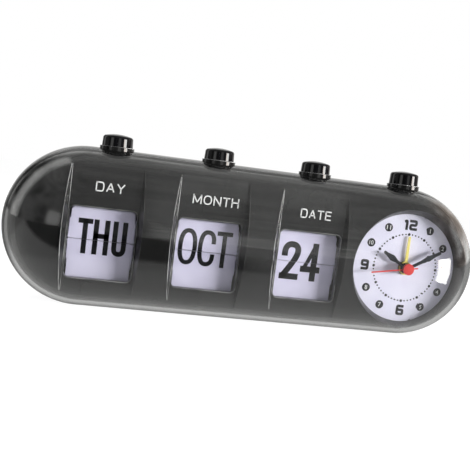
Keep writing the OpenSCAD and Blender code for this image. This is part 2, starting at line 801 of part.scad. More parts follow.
module movement_case() {
    color("#202020") difference() {
        front(movement_back, movement_d) translate([dial_x, dial_a])
            rounded(movement_w, movement_h, movement_r);
        front(dial_back - pipe_in - 0.5, pipe_in + 2) translate([dial_x, dial_a])
            circle(pipe_rs[3] + run_gap);
        for (s = [-1, 1]) front(movement_back - 1, knob_shaft_in + 1.5)
            translate([dial_x + s * knob_run, dial_a - knob_drop]) circle(knob_shaft_r + run_gap);
    }
}

module alarm_contact() {
    color("#c8a050") translate([alarm_x - strip_len / 2, -strip_w / 2, strip_z])
        cube([strip_len, strip_w, strip_t]);
}

module buzzer() {
    color("#c8a050") front(-well_in, buzzer_t) translate([dial_x, dial_a + buzzer_rise]) circle(buzzer_r);
}

// Pipe number i round the arbor, long enough to carry hand number i
module pipe(i) {
    color("#c8a050") front(dial_back - pipe_in, hand_fs[i] + hand_t - dial_back + pipe_in)
        translate([dial_x, dial_a]) ring(pipe_rs[i], pipe_rs[i] - pipe_wall);
}

module second_arbor() {
    color("#c8a050") front(dial_back - pipe_in, hand_fs[0] - dial_back + pipe_in)
        translate([dial_x, dial_a]) circle(arbor_r);
}

// Hand number i on its pipe, pointing at an angle from twelve
module hand(i, angle) {
    front(hand_fs[i], hand_t) translate([dial_x, dial_a]) rotate(-angle) difference() {
        union() {
            circle(pipe_rs[i] + boss_wall);
            children();
        }
        circle(pipe_rs[i] + 0.2 * run_gap);
    }
}

// Outline of a hand that swells to a lozenge
module lozenge(length, wide, narrow) {
    polygon([[-narrow / 2, 0], [narrow / 2, 0], [narrow / 2, 0.42 * length], [wide / 2, 0.63 * length],
        [narrow / 2, 0.86 * length], [narrow / 2, length - narrow / 2],
        [-narrow / 2, length - narrow / 2], [-narrow / 2, 0.86 * length], [-wide / 2, 0.63 * length],
        [-narrow / 2, 0.42 * length]]);
    translate([0, length - narrow / 2]) circle(narrow / 2);
}

module alarm_hand() {
    color("gold") hand(3, alarm_angle)
        polygon([[-alarm_root_w / 2, 0], [alarm_root_w / 2, 0], [alarm_tip_w / 2, alarm_len],
            [-alarm_tip_w / 2, alarm_len]]);
}

module hour_hand() {
    color("#202428") hand(2, hour_angle) lozenge(hour_len, hour_w, hand_w);
}

module minute_hand() {
    color("#202428") hand(1, minute_angle) lozenge(minute_len, minute_w, hand_w);
}

module second_hand() {
    color("#d83030") {
        front(hand_fs[0], hand_t) translate([dial_x, dial_a]) rotate(-second_angle)
            translate([-0.3, -second_tail]) square([0.6, second_len + second_tail]);
        front(hand_fs[0], cap_h) translate([dial_x, dial_a]) circle(cap_r);
    }
}

module knob(s) {
    color("#202020") {
        front(-knob_y - knob_h, knob_h) translate([dial_x + s * knob_run, dial_a - knob_drop]) difference() {
            circle(knob_r);
            for (i = [0:knob_ribs - 1]) rotate(i * 360 / knob_ribs) translate([knob_r + 0.2, 0])
                circle(0.45, $fn = 16);
        }
        front(-knob_y, knob_y + movement_back + knob_shaft_in)
            translate([dial_x + s * knob_run, dial_a - knob_drop]) circle(knob_shaft_r);
    }
}

module alarm_switch() {
    place = [dial_x - switch_travel / 2, dial_a - switch_drop];
    color("#d0d0d0") {
        front(-knob_y - switch_rise, switch_rise) translate(place) square([switch_w, switch_h], center = true);
        front(-knob_y, knob_y + movement_back - fit_gap) translate(place)
            square([switch_w - 1.6, switch_h / 2], center = true);
    }
}

module battery() {
    color("#4878b0") {
        side(mid_x - cell_len / 2, cell_len - cell_nub) translate([cell_y, 0]) circle(cell_r);
        side(mid_x - cell_len / 2, cell_len) translate([cell_y, 0]) circle(cell_r / 3);
    }
}

// Spring strip at the flat end and plain strip at the nub, each clipped in its end of the tray
module battery_contacts() {
    color("#c0c0c0") for (s = [-1, 1]) {
        wide = s > 0 ? mid_x + tray_len / 2 - contact_t : mid_x - tray_len / 2;
        side(wide, contact_t) translate([cell_y, 0]) square(1.5 * cell_r, center = true);
        side(s > 0 ? mid_x + cell_len / 2 + fit_gap : wide, contact_room - fit_gap)
            translate([cell_y, 0]) circle(cell_r / 2);
    }
}

module battery_door() {
    color("#101010") intersection() {
        difference() {
            capsule(body_r);
            capsule(inner_r);
        }
        front(-2 * body_r, 1.5 * body_r) translate([mid_x, 0]) tray_outline(tray_wall - door_gap);
    }
}

rear_housing();
front_dome();
front_panel();
button_rail();
rail_screws();
case_screws();
cage(day_x);  // day_cage
cage(month_x);  // month_cage
cage(date_x);  // date_cage
cage_screws();
drum_shaft(day_x);  // day_shaft
drum_shaft(month_x);  // month_shaft
drum_shaft(date_x);  // date_shaft
drum(day_x, day_count);  // day_drum
drum(month_x, month_count);  // month_drum
drum(date_x, date_count);  // date_drum
cards(day_x, day_count);  // day_cards
cards(month_x, month_count);  // month_cards
cards(date_x, date_count);  // date_cards
flip_card(day_x);  // day_flip_card
flip_card(month_x);  // month_flip_card
flip_card(date_x);  // date_flip_card
button(button_xs[0], button_h);  // day_button
button(button_xs[1], button_h);  // month_button
button(button_xs[2], button_h);  // date_button
button(button_xs[3], alarm_button_h);  // alarm_button
pusher(day_x, day_count);  // day_pusher
pusher(month_x, month_count);  // month_pusher
pusher(date_x, date_count);  // date_pusher
alarm_pusher();
spring(button_xs[0]);  // day_spring
spring(button_xs[1]);  // month_spring
spring(button_xs[2]);  // date_spring
spring(button_xs[3]);  // alarm_spring
dial_plate();
movement_case();
alarm_contact();
buzzer();
pipe(3);  // alarm_pipe
pipe(2);  // hour_pipe
pipe(1);  // minute_pipe
second_arbor();
alarm_hand();
hour_hand();
minute_hand();
second_hand();
knob(-1);  // time_knob
knob(1);  // alarm_knob
alarm_switch();
battery();
battery_contacts();
battery_door();
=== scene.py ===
import bmesh
import bpy
import json
import math
import numpy as np
from mathutils import Matrix, Vector


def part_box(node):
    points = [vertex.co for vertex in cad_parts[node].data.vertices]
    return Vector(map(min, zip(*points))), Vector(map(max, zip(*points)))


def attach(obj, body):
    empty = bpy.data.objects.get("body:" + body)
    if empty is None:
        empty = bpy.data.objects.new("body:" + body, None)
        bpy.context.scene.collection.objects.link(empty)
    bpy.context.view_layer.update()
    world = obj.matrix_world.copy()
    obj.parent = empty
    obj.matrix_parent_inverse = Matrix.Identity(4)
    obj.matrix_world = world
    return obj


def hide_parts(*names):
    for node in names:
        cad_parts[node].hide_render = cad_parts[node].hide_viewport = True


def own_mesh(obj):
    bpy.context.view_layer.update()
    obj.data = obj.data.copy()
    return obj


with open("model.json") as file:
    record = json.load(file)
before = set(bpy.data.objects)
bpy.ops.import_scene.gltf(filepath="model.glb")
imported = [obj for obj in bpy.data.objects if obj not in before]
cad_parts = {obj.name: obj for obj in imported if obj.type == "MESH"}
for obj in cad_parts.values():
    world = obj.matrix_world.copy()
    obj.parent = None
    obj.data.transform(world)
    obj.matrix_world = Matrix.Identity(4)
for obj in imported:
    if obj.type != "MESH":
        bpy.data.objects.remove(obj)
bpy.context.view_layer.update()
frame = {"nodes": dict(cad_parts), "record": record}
nodes = frame["nodes"]
scene = bpy.context.scene
scene.view_settings.view_transform = "Standard"
mm = 0.001
print("frame loaded:", len(nodes), "nodes")


# Middle of a CAD node's box, in millimetres
def middleOf(node):
    low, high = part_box(node)
    return [round(v / mm, 3) for v in (low + high) / 2]


# Camera, solved from the photograph: place in millimetres, angles in degrees
cameraView = {"place": (-64.95, -304.27, 62.21), "yaw": 11.051, "pitch": 4.886, "roll": 7.388,
    "lens": 53.7, "sensor": 36.0, "clip": 0.01}


def placeCamera(view):
    yaw, pitch, roll = (math.radians(view[k]) for k in ("yaw", "pitch", "roll"))
    ahead = Vector((math.sin(yaw) * math.cos(pitch), math.cos(yaw) * math.cos(pitch), -math.sin(pitch)))
    level = Vector((math.cos(yaw), -math.sin(yaw), 0))
    top = level.cross(ahead)
    right = level * math.cos(roll) + top * math.sin(roll)
    up = top * math.cos(roll) - level * math.sin(roll)
    data = bpy.data.cameras.new("camera")
    data.lens, data.sensor_width, data.clip_start = view["lens"], view["sensor"], view["clip"]
    camera = bpy.data.objects.new("camera", data)
    scene.collection.objects.link(camera)
    turn = Matrix((right, up, -ahead)).transposed().to_4x4()
    camera.matrix_world = Matrix.Translation(Vector(view["place"]) * mm) @ turn
    scene.camera = camera


placeCamera(cameraView)


# A shader node: each value goes to the input of that name, or else to the node's own setting
def addNode(tree, kind, **values):
    node = tree.nodes.new(kind)
    for name, value in values.items():
        if name in node.inputs:
            node.inputs[name].default_value = value
        else:
            setattr(node, name, value)
    return node


# Gives a socket a number or a link
def feed(tree, socket, value):
    if isinstance(value, (int, float)):
        socket.default_value = value
    else:
        tree.links.new(value, socket)


# Terms taken together two by two with a math operation
def combine(tree, operation, *terms):
    total = terms[0]
    for term in terms[1:]:
        node = addNode(tree, "ShaderNodeMath", operation=operation)
        feed(tree, node.inputs[0], total)
        feed(tree, node.inputs[1], term)
        total = node.outputs[0]
    return total


# Smooth step from low to high as the value runs from start to end
def ramp(tree, value, low, high, start, end):
    node = addNode(tree, "ShaderNodeMapRange", interpolation_type="SMOOTHSTEP")
    for name, term in (("From Min", start), ("From Max", end), ("To Min", low), ("To Max", high)):
        feed(tree, node.inputs[name], term)
    tree.links.new(value, node.inputs["Value"])
    return node.outputs["Result"]


# Blend from one level to another as the weight runs from 0 to 1
def blendLevel(tree, weight, low, high):
    return ramp(tree, weight, low, high, 0, 1)


# One between two limits and zero outside them, with soft edges
def band(tree, value, limits, edge):
    low, high = limits
    return combine(tree, "MULTIPLY", ramp(tree, value, 0, 1, low - edge, low + edge),
        ramp(tree, value, 1, 0, high - edge, high + edge))


# The x, y and z of a texture coordinate
def axesOf(tree, coordinate):
    split = addNode(tree, "ShaderNodeSeparateXYZ")
    tree.links.new(addNode(tree, "ShaderNodeTexCoord").outputs[coordinate], split.inputs[0])
    return split.outputs


# Noise whose grains are 1 / scale wide, made narrower along each axis by squeeze
def noiseOn(tree, coordinate, scale, detail, squeeze=(1, 1, 1)):
    press = addNode(tree, "ShaderNodeMapping", Scale=squeeze)
    noise = addNode(tree, "ShaderNodeTexNoise", Scale=scale, Detail=detail)
    tree.links.new(addNode(tree, "ShaderNodeTexCoord").outputs[coordinate], press.inputs["Vector"])
    tree.links.new(press.outputs["Vector"], noise.inputs["Vector"])
    return noise.outputs["Fac"]


def mixColours(tree, weight, dark, light):
    mix = addNode(tree, "ShaderNodeMix", data_type="RGBA")
    for socket, colour in zip(mix.inputs[6:8], (dark, light)):  # the colour sockets A and B
        socket.default_value = (*colour, 1)
    tree.links.new(weight, mix.inputs[0])
    return mix.outputs[2]


def mixShaders(tree, weight, under, over):
    mix = addNode(tree, "ShaderNodeMixShader")
    for socket, source in zip(mix.inputs, (weight, under, over)):
        tree.links.new(source, socket)
    return mix.outputs[0]


# One for rays that come off a mirror or through the dome
def indirectRays(tree, path):
    return combine(tree, "MAXIMUM", path.outputs["Is Glossy Ray"], path.outputs["Is Transmission Ray"])


# Surroundings: white to the eye, a dimmer room to mirrors and through the dome; spans are along a direction
roomLook = {"soft": 0.14, "softColour": (0.95, 0.95, 1.0),
    "tone": (1.0, 1.0, 0.985), "rightTone": (1.0, 0.84, 0.74),
    "dark": 0.08, "glow": 0.75, "glowSpan": (0.07, 0.4), "glowEdge": 0.03,
    "darkHeight": 0.46, "glowHeight": 0.28, "heightEdge": 0.08,
    "overhead": (0.24, 0.31), "overheadSpan": (-0.1, 0.3),
    "side": 0.3, "sideSpan": (-0.3, 0.1), "behind": 0.8, "behindSpan": (0.6, 0.92),
    "detail": 3.0, "clutterScale": 2.6, "clutterSpan": (0.42, 0.6),
    "streakScale": 3.0, "streakSqueeze": (1, 1, 6), "streak": (0.75, 1.25), "streakSpan": (0.35, 0.65),
    "blotch": (0.6, 2.4), "rightSpan": (0.5, 0.7),
    "left": (0.03, 0.24), "leftSpan": (-0.55, -0.15), "leftTop": (0.45, 0.85),
    "leftGlow": {"level": 1.2, "toRear": (0.29, 0.57), "from": -0.3, "edge": 0.06,
        "uneven": 0.65, "unevenSpan": (0.35, 0.6)},
    "panes": (
        {"bearing": (-0.95, -0.6), "up": (0.0, 0.3), "level": 1.2, "edge": 0.1},
        {"bearing": (0.82, 1.2), "up": (-0.05, 0.17), "level": 16.0, "edge": 0.025})}


def lightRoom(look):
    world = bpy.data.worlds.new("room")
    world.use_nodes = True
    scene.world = world
    tree = world.node_tree
    path = addNode(tree, "ShaderNodeLightPath")
    x, y, z = axesOf(tree, "Generated")
    clutter = noiseOn(tree, "Generated", look["clutterScale"], look["detail"])
    streaks = noiseOn(tree, "Generated", look["streakScale"], look["detail"], look["streakSqueeze"])
    # straight ahead it is dark, to the right of that a bright doorway, and over both an even ceiling
    glowing = band(tree, x, look["glowSpan"], look["glowEdge"])
    level = blendLevel(tree, glowing, look["dark"], look["glow"])
    top = blendLevel(tree, glowing, look["darkHeight"], look["glowHeight"])
    overhead = ramp(tree, x, *look["overhead"], *look["overheadSpan"])
    front = ramp(tree, z, level, overhead, combine(tree, "SUBTRACT", top, look["heightEdge"]),
        combine(tree, "ADD", top, look["heightEdge"]))
    # to the sides it is dim, straight behind bright, and streaks lie over all of it
    around = blendLevel(tree, ramp(tree, y, 0, 1, *look["sideSpan"]), front, look["side"])
    around = blendLevel(tree, ramp(tree, y, 0, 1, *look["behindSpan"]), around, look["behind"])
    around = combine(tree, "MULTIPLY", around, ramp(tree, streaks, *look["streak"], *look["streakSpan"]))
    # far to the right it is blotched, with a brown tone where it is dark
    rightward = ramp(tree, x, 0, 1, *look["rightSpan"])
    blotch = ramp(tree, clutter, *look["blotch"], *look["clutterSpan"])
    around = combine(tree, "MULTIPLY", around, blendLevel(tree, rightward, 1.0, blotch))
    brown = combine(tree, "MULTIPLY", rightward, ramp(tree, clutter, 1, 0, *look["clutterSpan"]))
    # the left is dark and cluttered, except overhead
    leftward = combine(tree, "MULTIPLY", ramp(tree, x, 1, 0, *look["leftSpan"]),
        ramp(tree, z, 1, 0, *look["leftTop"]))
    mirrored = blendLevel(tree, leftward, around, ramp(tree, clutter, *look["left"], *look["clutterSpan"]))
    # pale wall to the left and a little behind, uneven like the rest
    wall = look["leftGlow"]
    inside = combine(tree, "MULTIPLY", band(tree, y, wall["toRear"], wall["edge"]),
        ramp(tree, x, 1, 0, wall["from"] - wall["edge"], wall["from"] + wall["edge"]),
        ramp(tree, clutter, wall["uneven"], 1, *wall["unevenSpan"]))
    mirrored = blendLevel(tree, inside, mirrored, wall["level"])
    # bright panes, each between two bearings measured from straight ahead and two heights
    bearing = combine(tree, "ARCTAN2", x, combine(tree, "MULTIPLY", y, -1.0))
    for pane in look["panes"]:
        inside = combine(tree, "MULTIPLY", band(tree, bearing, pane["bearing"], pane["edge"]),
            band(tree, z, pane["up"], pane["edge"]))
        mirrored = blendLevel(tree, inside, mirrored, pane["level"])
    plain = addNode(tree, "ShaderNodeBackground", Color=(*look["softColour"], 1), Strength=look["soft"])
    white = addNode(tree, "ShaderNodeBackground", Color=(1, 1, 1, 1), Strength=1.0)
    dimmed = addNode(tree, "ShaderNodeBackground")
    tree.links.new(mixColours(tree, brown, look["tone"], look["rightTone"]), dimmed.inputs["Color"])
    tree.links.new(mirrored, dimmed.inputs["Strength"])
    lit = mixShaders(tree, indirectRays(tree, path), plain.outputs[0], dimmed.outputs[0])
    seen = mixShaders(tree, path.outputs["Is Camera Ray"], lit, white.outputs[0])
    tree.links.new(seen, tree.nodes["World Output"].inputs["Surface"])


lightRoom(roomLook)

# Lamps: a window at the right that rakes across the front, a soft ceiling, and a fill for the rear
lamps = {
    "window": {"place": (1.2, -0.58, 0.15), "aim": (0.03, -0.01, 0.035), "size": (0.54, 0.28), "power": 32.0,
        "colour": (1.0, 0.99, 0.98)},
    "ceiling": {"place": (-0.2, -0.45, 0.75), "aim": (0, 0, 0.03), "size": (0.7, 0.7), "power": 1.0,
        "colour": (0.97, 0.97, 1.0)},
    "rearFill": {"place": (0.1, 0.8, 0.55), "aim": (0, 0.02, 0.03), "size": (0.9, 0.6), "power": 8.0,
        "colour": (1.0, 1.0, 1.0)}}


def hangLamp(name, lamp):
    data = bpy.data.lights.new(name, "AREA")
    data.shape, data.energy, data.color = "RECTANGLE", lamp["power"], lamp["colour"]
    data.size, data.size_y = lamp["size"]
    light = bpy.data.objects.new(name, data)
    scene.collection.objects.link(light)
    light.location = lamp["place"]
    light.rotation_euler = (Vector(lamp["aim"]) - light.location).to_track_quat("-Z", "Y").to_euler()
    light.visible_glossy = light.visible_transmission = False  # mirrors see the room instead


for name, lamp in lamps.items():
    hangLamp(name, lamp)

# Floor: a wide pale sheet that keeps a faint shadow; to mirrors it glows with painted light, bright near the
# clock and dark ahead
floorLook = {"half": 3.0, "colour": (0.93, 0.93, 0.93), "roughness": 0.9, "glow": 0.8, "white": 1.2,
    "tone": (1.0, 1.0, 0.99), "near": 0.46, "nearSpan": (-0.075, -0.055), "ahead": 0.0, "right": 0.42,
    "rightSpan": (-0.03, 0.06), "behind": 0.26, "behindSpan": (0.0, 0.06),
    "paintedPool": 16.0, "paintedPoolFrom": (0.079, -0.032), "paintedPoolBearing": (0.82, 1.2), "paintedPoolEdge": 0.02,
    "paintedPoolNear": (0.085, 0.095), "paintedPoolFar": (2.9, 2.92)}


def layFloor(look):
    half = look["half"]
    mesh = bpy.data.meshes.new("floor")
    corners = [(-half, -half, 0), (half, -half, 0), (half, half, 0), (-half, half, 0)]
    mesh.from_pydata(corners, [], [(0, 1, 2, 3)])
    floor = bpy.data.objects.new("floor", mesh)
    scene.collection.objects.link(floor)
    finish = bpy.data.materials.new("floorPaper")
    finish.use_nodes = True
    tree = finish.node_tree
    shader = tree.nodes["Principled BSDF"]
    shader.inputs["Base Color"].default_value = (*look["colour"], 1)
    shader.inputs["Roughness"].default_value = look["roughness"]
    path = addNode(tree, "ShaderNodeLightPath")
    x, y, _ = axesOf(tree, "Object")
    farther = blendLevel(tree, ramp(tree, x, 0, 1, *look["rightSpan"]), look["ahead"], look["right"])
    level = blendLevel(tree, ramp(tree, y, 1, 0, *look["nearSpan"]), look["near"], farther)
    level = blendLevel(tree, ramp(tree, y, 0, 1, *look["behindSpan"]), level, look["behind"])
    # painted light that only mirrors see, where a window would throw its light on the floor: a wedge between
    # two bearings and two distances
    east = combine(tree, "SUBTRACT", x, look["paintedPoolFrom"][0])
    south = combine(tree, "SUBTRACT", look["paintedPoolFrom"][1], y)
    bearing = combine(tree, "ARCTAN2", east, south)
    reach = combine(tree, "POWER", combine(tree, "ADD", combine(tree, "MULTIPLY", east, east),
        combine(tree, "MULTIPLY", south, south)), 0.5)
    wedge = combine(tree, "MULTIPLY", band(tree, bearing, look["paintedPoolBearing"], look["paintedPoolEdge"]),
        ramp(tree, reach, 0, 1, *look["paintedPoolNear"]), ramp(tree, reach, 1, 0, *look["paintedPoolFar"]))
    level = blendLevel(tree, wedge, level, look["paintedPool"])
    white = addNode(tree, "ShaderNodeEmission", Color=(1, 1, 1, 1), Strength=look["white"])
    dimmed = addNode(tree, "ShaderNodeEmission", Color=(*look["tone"], 1))
    tree.links.new(level, dimmed.inputs["Strength"])
    lit = mixShaders(tree, indirectRays(tree, path), shader.outputs[0], dimmed.outputs[0])
    eye = combine(tree, "MULTIPLY", path.outputs["Is Camera Ray"], look["glow"])
    seen = mixShaders(tree, eye, lit, white.outputs[0])
    tree.links.new(seen, tree.nodes["Material Output"].inputs["Surface"])
    mesh.materials.append(finish)


layFloor(floorLook)
print("camera, room, lamps and floor set")


# Finishes: every pattern reads Object coordinates, which are metres in the clock's frame
def shaderOf(finish):
    return finish.node_tree.nodes["Principled BSDF"]


def newFinish(name, colour, roughness, **sockets):
    finish = bpy.data.materials.new(name)
    finish.use_nodes = True
    shader = shaderOf(finish)
    shader.inputs["Base Color"].default_value = (*colour, 1)
    shader.inputs["Roughness"].default_value = roughness
    for socket, value in sockets.items():
        shader.inputs[socket.replace("_", " ")].default_value = value
    return finish


# Noise over a piece, with a scale in grains per metre
def grain(finish, scale, detail, squeeze=(1, 1, 1)):
    return noiseOn(finish.node_tree, "Object", scale, detail, squeeze)


noiseSpan = (0.35, 0.65)  # where most of a noise lies
smudgeSpan = (0.4, 0.7)


# Roughness from low to high by a pattern
def varyGloss(finish, pattern, low, high, span=noiseSpan):
    tree = finish.node_tree
    tree.links.new(ramp(tree, pattern, low, high, *span), shaderOf(finish).inputs["Roughness"])


# Colour from dark to light by a pattern
def tint(finish, pattern, dark, light):
    tree = finish.node_tree
    mixed = mixColours(tree, ramp(tree, pattern, 0, 1, *noiseSpan), dark, light)
    tree.links.new(mixed, shaderOf(finish).inputs["Base Color"])


# Bumps of a height in metres by a pattern
def emboss(finish, pattern, height):
    tree = finish.node_tree
    bump = addNode(tree, "ShaderNodeBump", Distance=height, Strength=1.0)
    tree.links.new(pattern, bump.inputs["Height"])
    tree.links.new(bump.outputs["Normal"], shaderOf(finish).inputs["Normal"])


# Polished black: smudges in the gloss, clouds in the tone and slow waves; each noise is a scale and a detail
polishLook = {"specular": 0.5, "smudge": (60, 6), "cloud": (25, 3), "cloudTones": (0.8, 1.2), "waveDetail": 1}


def polishedBlack(name, colour, smooth, smudged, waveScale, waveHeight):
    finish = newFinish(name, colour, smooth, Specular_IOR_Level=polishLook["specular"])
    varyGloss(finish, grain(finish, *polishLook["smudge"]), smooth, smudged, smudgeSpan)
    dark, light = (tuple(tone * v for v in colour) for tone in polishLook["cloudTones"])
    tint(finish, grain(finish, *polishLook["cloud"]), dark, light)
    emboss(finish, grain(finish, waveScale, polishLook["waveDetail"]), waveHeight)
    return finish


# Takes the roughness that a finish has together with a further pattern
def adjustGloss(finish, operation, pattern):
    tree = finish.node_tree
    gloss = shaderOf(finish).inputs["Roughness"]
    tree.links.new(combine(tree, operation, gloss.links[0].from_socket, pattern), gloss)


# Housing: satin towards the rear and the right end, where roughness is added as y or x runs over its span
satinLook = {"extra": 0.24, "rear": (0.011, 0.024), "right": (0.082, 0.092)}


def satinRear(finish, look):
    tree = finish.node_tree
    x, y, _ = axesOf(tree, "Object")
    rear, right = (ramp(tree, value, 0, look["extra"], *look[k]) for value, k in ((y, "rear"), (x, "right")))
    adjustGloss(finish, "ADD", combine(tree, "MAXIMUM", rear, right))


# Panel: roughness falls to a share of itself behind the floors of the columns, as y runs over its span
recessLook = {"share": 0.2, "span": (-0.01455, -0.01435)}


def smoothRecess(finish, look):
    tree = finish.node_tree
    _, y, _ = axesOf(tree, "Object")
    adjustGloss(finish, "MULTIPLY", ramp(tree, y, 1, look["share"], *look["span"]))


# Clear moulding: glass to the eye, open to the light that falls through it
clearLook = {"smudge": (45, 5), "wave": (40, 1), "waveHeight": 0.02 * mm}


def clearMoulding(name, colour, bend, smooth, smudged):
    finish = newFinish(name, colour, smooth, IOR=bend, Transmission_Weight=1.0)
    varyGloss(finish, grain(finish, *clearLook["smudge"]), smooth, smudged, smudgeSpan)
    emboss(finish, grain(finish, *clearLook["wave"]), clearLook["waveHeight"])
    tree = finish.node_tree
    path = addNode(tree, "ShaderNodeLightPath")
    clear = addNode(tree, "ShaderNodeBsdfTransparent", Color=(*colour, 1))
    falling = combine(tree, "MAXIMUM", path.outputs["Is Shadow Ray"], path.outputs["Is Diffuse Ray"])
    mixed = mixShaders(tree, falling, shaderOf(finish).outputs[0], clear.outputs[0])
    tree.links.new(mixed, tree.nodes["Material Output"].inputs["Surface"])
    return finish


# Plain finishes: clouds in the tone, patches in the gloss that lower and raise it, and a fine grain
mouldLook = {"cloud": (180, 5), "patch": (300, 3), "spread": (0.07, 0.07),
    "grain": (2500, 2), "grainHeight": 0.02 * mm}
metalLook = {"cloud": (900, 3), "patch": (1400, 2), "spread": (0.08, 0.1),
    "grain": (2600, 2), "grainHeight": 0.008 * mm}
paintLook = {"cloud": (120, 4), "patch": (500, 3), "spread": (0.06, 0.06),
    "grain": (5000, 2), "grainHeight": 0.004 * mm, "coat": 0.15, "coatRoughness": 0.2}


def texture(finish, look, dark, light, roughness, squeeze=(1, 1, 1)):
    lower, higher = look["spread"]
    tint(finish, grain(finish, *look["cloud"], squeeze), dark, light)
    varyGloss(finish, grain(finish, *look["patch"], squeeze), roughness - lower, roughness + higher)
    emboss(finish, grain(finish, *look["grain"], squeeze), look["grainHeight"])
    return finish


def moulded(name, dark, light, roughness):
    return texture(newFinish(name, light, roughness), mouldLook, dark, light, roughness)


def drawnMetal(name, dark, light, roughness, squeeze):
    finish = newFinish(name, light, roughness, Metallic=1.0)
    return texture(finish, metalLook, dark, light, roughness, squeeze)


def satinPaint(name, dark, light, roughness):
    finish = newFinish(name, light, roughness, Coat_Weight=paintLook["coat"],
        Coat_Roughness=paintLook["coatRoughness"])
    return texture(finish, paintLook, dark, light, roughness)


finishes = {
    "housing_black": polishedBlack("housingGloss", (0.012, 0.012, 0.012), 0.05, 0.14, 60, 0.02 * mm),
    "panel_black": polishedBlack("panelGloss", (0.016, 0.016, 0.016), 0.09, 0.18, 90, 0.02 * mm),
    "cap_black": polishedBlack("capGloss", (0.004, 0.004, 0.005), 0.05, 0.12, 300, 0.01 * mm),
    "clear_dome": clearMoulding("domeClear", (0.97, 0.975, 0.97), 1.49, 0.0, 0.03),
    "inner_black": moulded("innerPlastic", (0.03, 0.03, 0.033), (0.05, 0.05, 0.054), 0.5),
    "drum_grey": moulded("drumPlastic", (0.52, 0.52, 0.54), (0.6, 0.6, 0.62), 0.5),
    "card_white": satinPaint("cardSheet", (0.73, 0.7, 0.9), (0.79, 0.76, 0.96), 0.42),
    "steel": drawnMetal("drawnSteel", (0.42, 0.42, 0.43), (0.62, 0.62, 0.62), 0.3, (0.15, 1, 1)),
    "brass": drawnMetal("drawnBrass", (0.6, 0.43, 0.18), (0.78, 0.6, 0.3), 0.28, (1, 0.15, 1)),
    "dial_white": satinPaint("dialEnamel", (0.76, 0.745, 0.9), (0.81, 0.795, 0.94), 0.4),
    "hand_dark": satinPaint("handDark", (0.012, 0.014, 0.018), (0.022, 0.025, 0.03), 0.35),
    "hand_red": satinPaint("handRed", (0.58, 0.035, 0.035), (0.7, 0.055, 0.05), 0.35),
    "hand_yellow": satinPaint("handYellow", (0.7, 0.58, 0.14), (0.84, 0.72, 0.22), 0.35),
    "knob_black": moulded("knobPlastic", (0.018, 0.018, 0.02), (0.032, 0.032, 0.034), 0.45),
    "switch_grey": moulded("switchPlastic", (0.58, 0.58, 0.59), (0.66, 0.66, 0.67), 0.45),
    "cell_wrap": satinPaint("cellSleeve", (0.1, 0.17, 0.3), (0.16, 0.26, 0.42), 0.3)}
satinRear(finishes["housing_black"], satinLook)
smoothRecess(finishes["panel_black"], recessLook)

slotOf = {row["node"]: row["material_slot"] for row in frame["record"]["subparts"]}
for name, piece in nodes.items():
    for slot in piece.material_slots:
        slot.material = finishes[slotOf[name]]
cardInk = moulded("cardInk", (0.006, 0.006, 0.008), (0.012, 0.012, 0.015), 0.6)
labelInk = moulded("labelInk", (0.88, 0.88, 0.88), (0.95, 0.95, 0.95), 0.5)
dialInk = moulded("dialInk", (0.008, 0.008, 0.012), (0.015, 0.015, 0.02), 0.5)
# painted highlights: pale grey finishes for the bars that stand in for glints along black edges
paintedEdgeHighlight = satinPaint("paintedEdgeHighlight", (0.12, 0.12, 0.12), (0.62, 0.62, 0.62), 0.2)
paintedDimHighlight = satinPaint("paintedDimHighlight", (0.06, 0.06, 0.06), (0.26, 0.26, 0.26), 0.2)
paintedFaintHighlight = satinPaint("paintedFaintHighlight", (0.02, 0.02, 0.02), (0.08, 0.08, 0.08), 0.2)
copperSleeve = satinPaint("copperSleeve", (0.42, 0.22, 0.1), (0.52, 0.28, 0.13), 0.25)
print("finishes on", len(nodes), "nodes")


def addPiece(name, mesh, finish, body, thickness=0.0, smooth=False):
    piece = bpy.data.objects.new(name, mesh)
    scene.collection.objects.link(piece)
    mesh.materials.append(finish)
    if smooth:
        mesh.polygons.foreach_set("use_smooth", [True] * len(mesh.polygons))
    if thickness:
        solid = piece.modifiers.new("thickness", "SOLIDIFY")
        solid.thickness, solid.offset = thickness, 1.0
    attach(piece, body)
    return piece


# One mesh of several shapes, each given as its points and its faces
def joinMesh(name, shapes):
    points, faces, first = [], [], 0
    for shape, loops in shapes:
        points.append(shape)
        faces += [tuple(int(v) + first for v in loop) for loop in loops]
        first += len(shape)
    mesh = bpy.data.meshes.new(name)
    mesh.from_pydata(np.concatenate(points).tolist(), [], faces)
    return mesh


# Faces of a grid numbered row by row: each row's end joins its start, and, if looped, the last row the first
def gridFaces(rows, columns, looped=False):
    i, j = np.meshgrid(np.arange(rows if looped else rows - 1), np.arange(columns), indexing="ij")
    after, beside = (i + 1) % rows, (j + 1) % columns
    corners = [i * columns + j, i * columns + beside, after * columns + beside, after * columns + j]
    return np.stack(corners, -1).reshape(-1, 4)


def meshPoints(mesh):
    flat = np.empty(len(mesh.vertices) * 3)
    mesh.vertices.foreach_get("co", flat)
    return flat.reshape(-1, 3)


def setPoints(mesh, points):
    mesh.vertices.foreach_set("co", np.ascontiguousarray(points, float).ravel())
    mesh.update()
    return mesh


# Prints: flat outlines stood on a surface and given the thickness of ink
inkThickness = 0.03 * mm
weldDistance = 1e-5
cutDistance = 1e-6


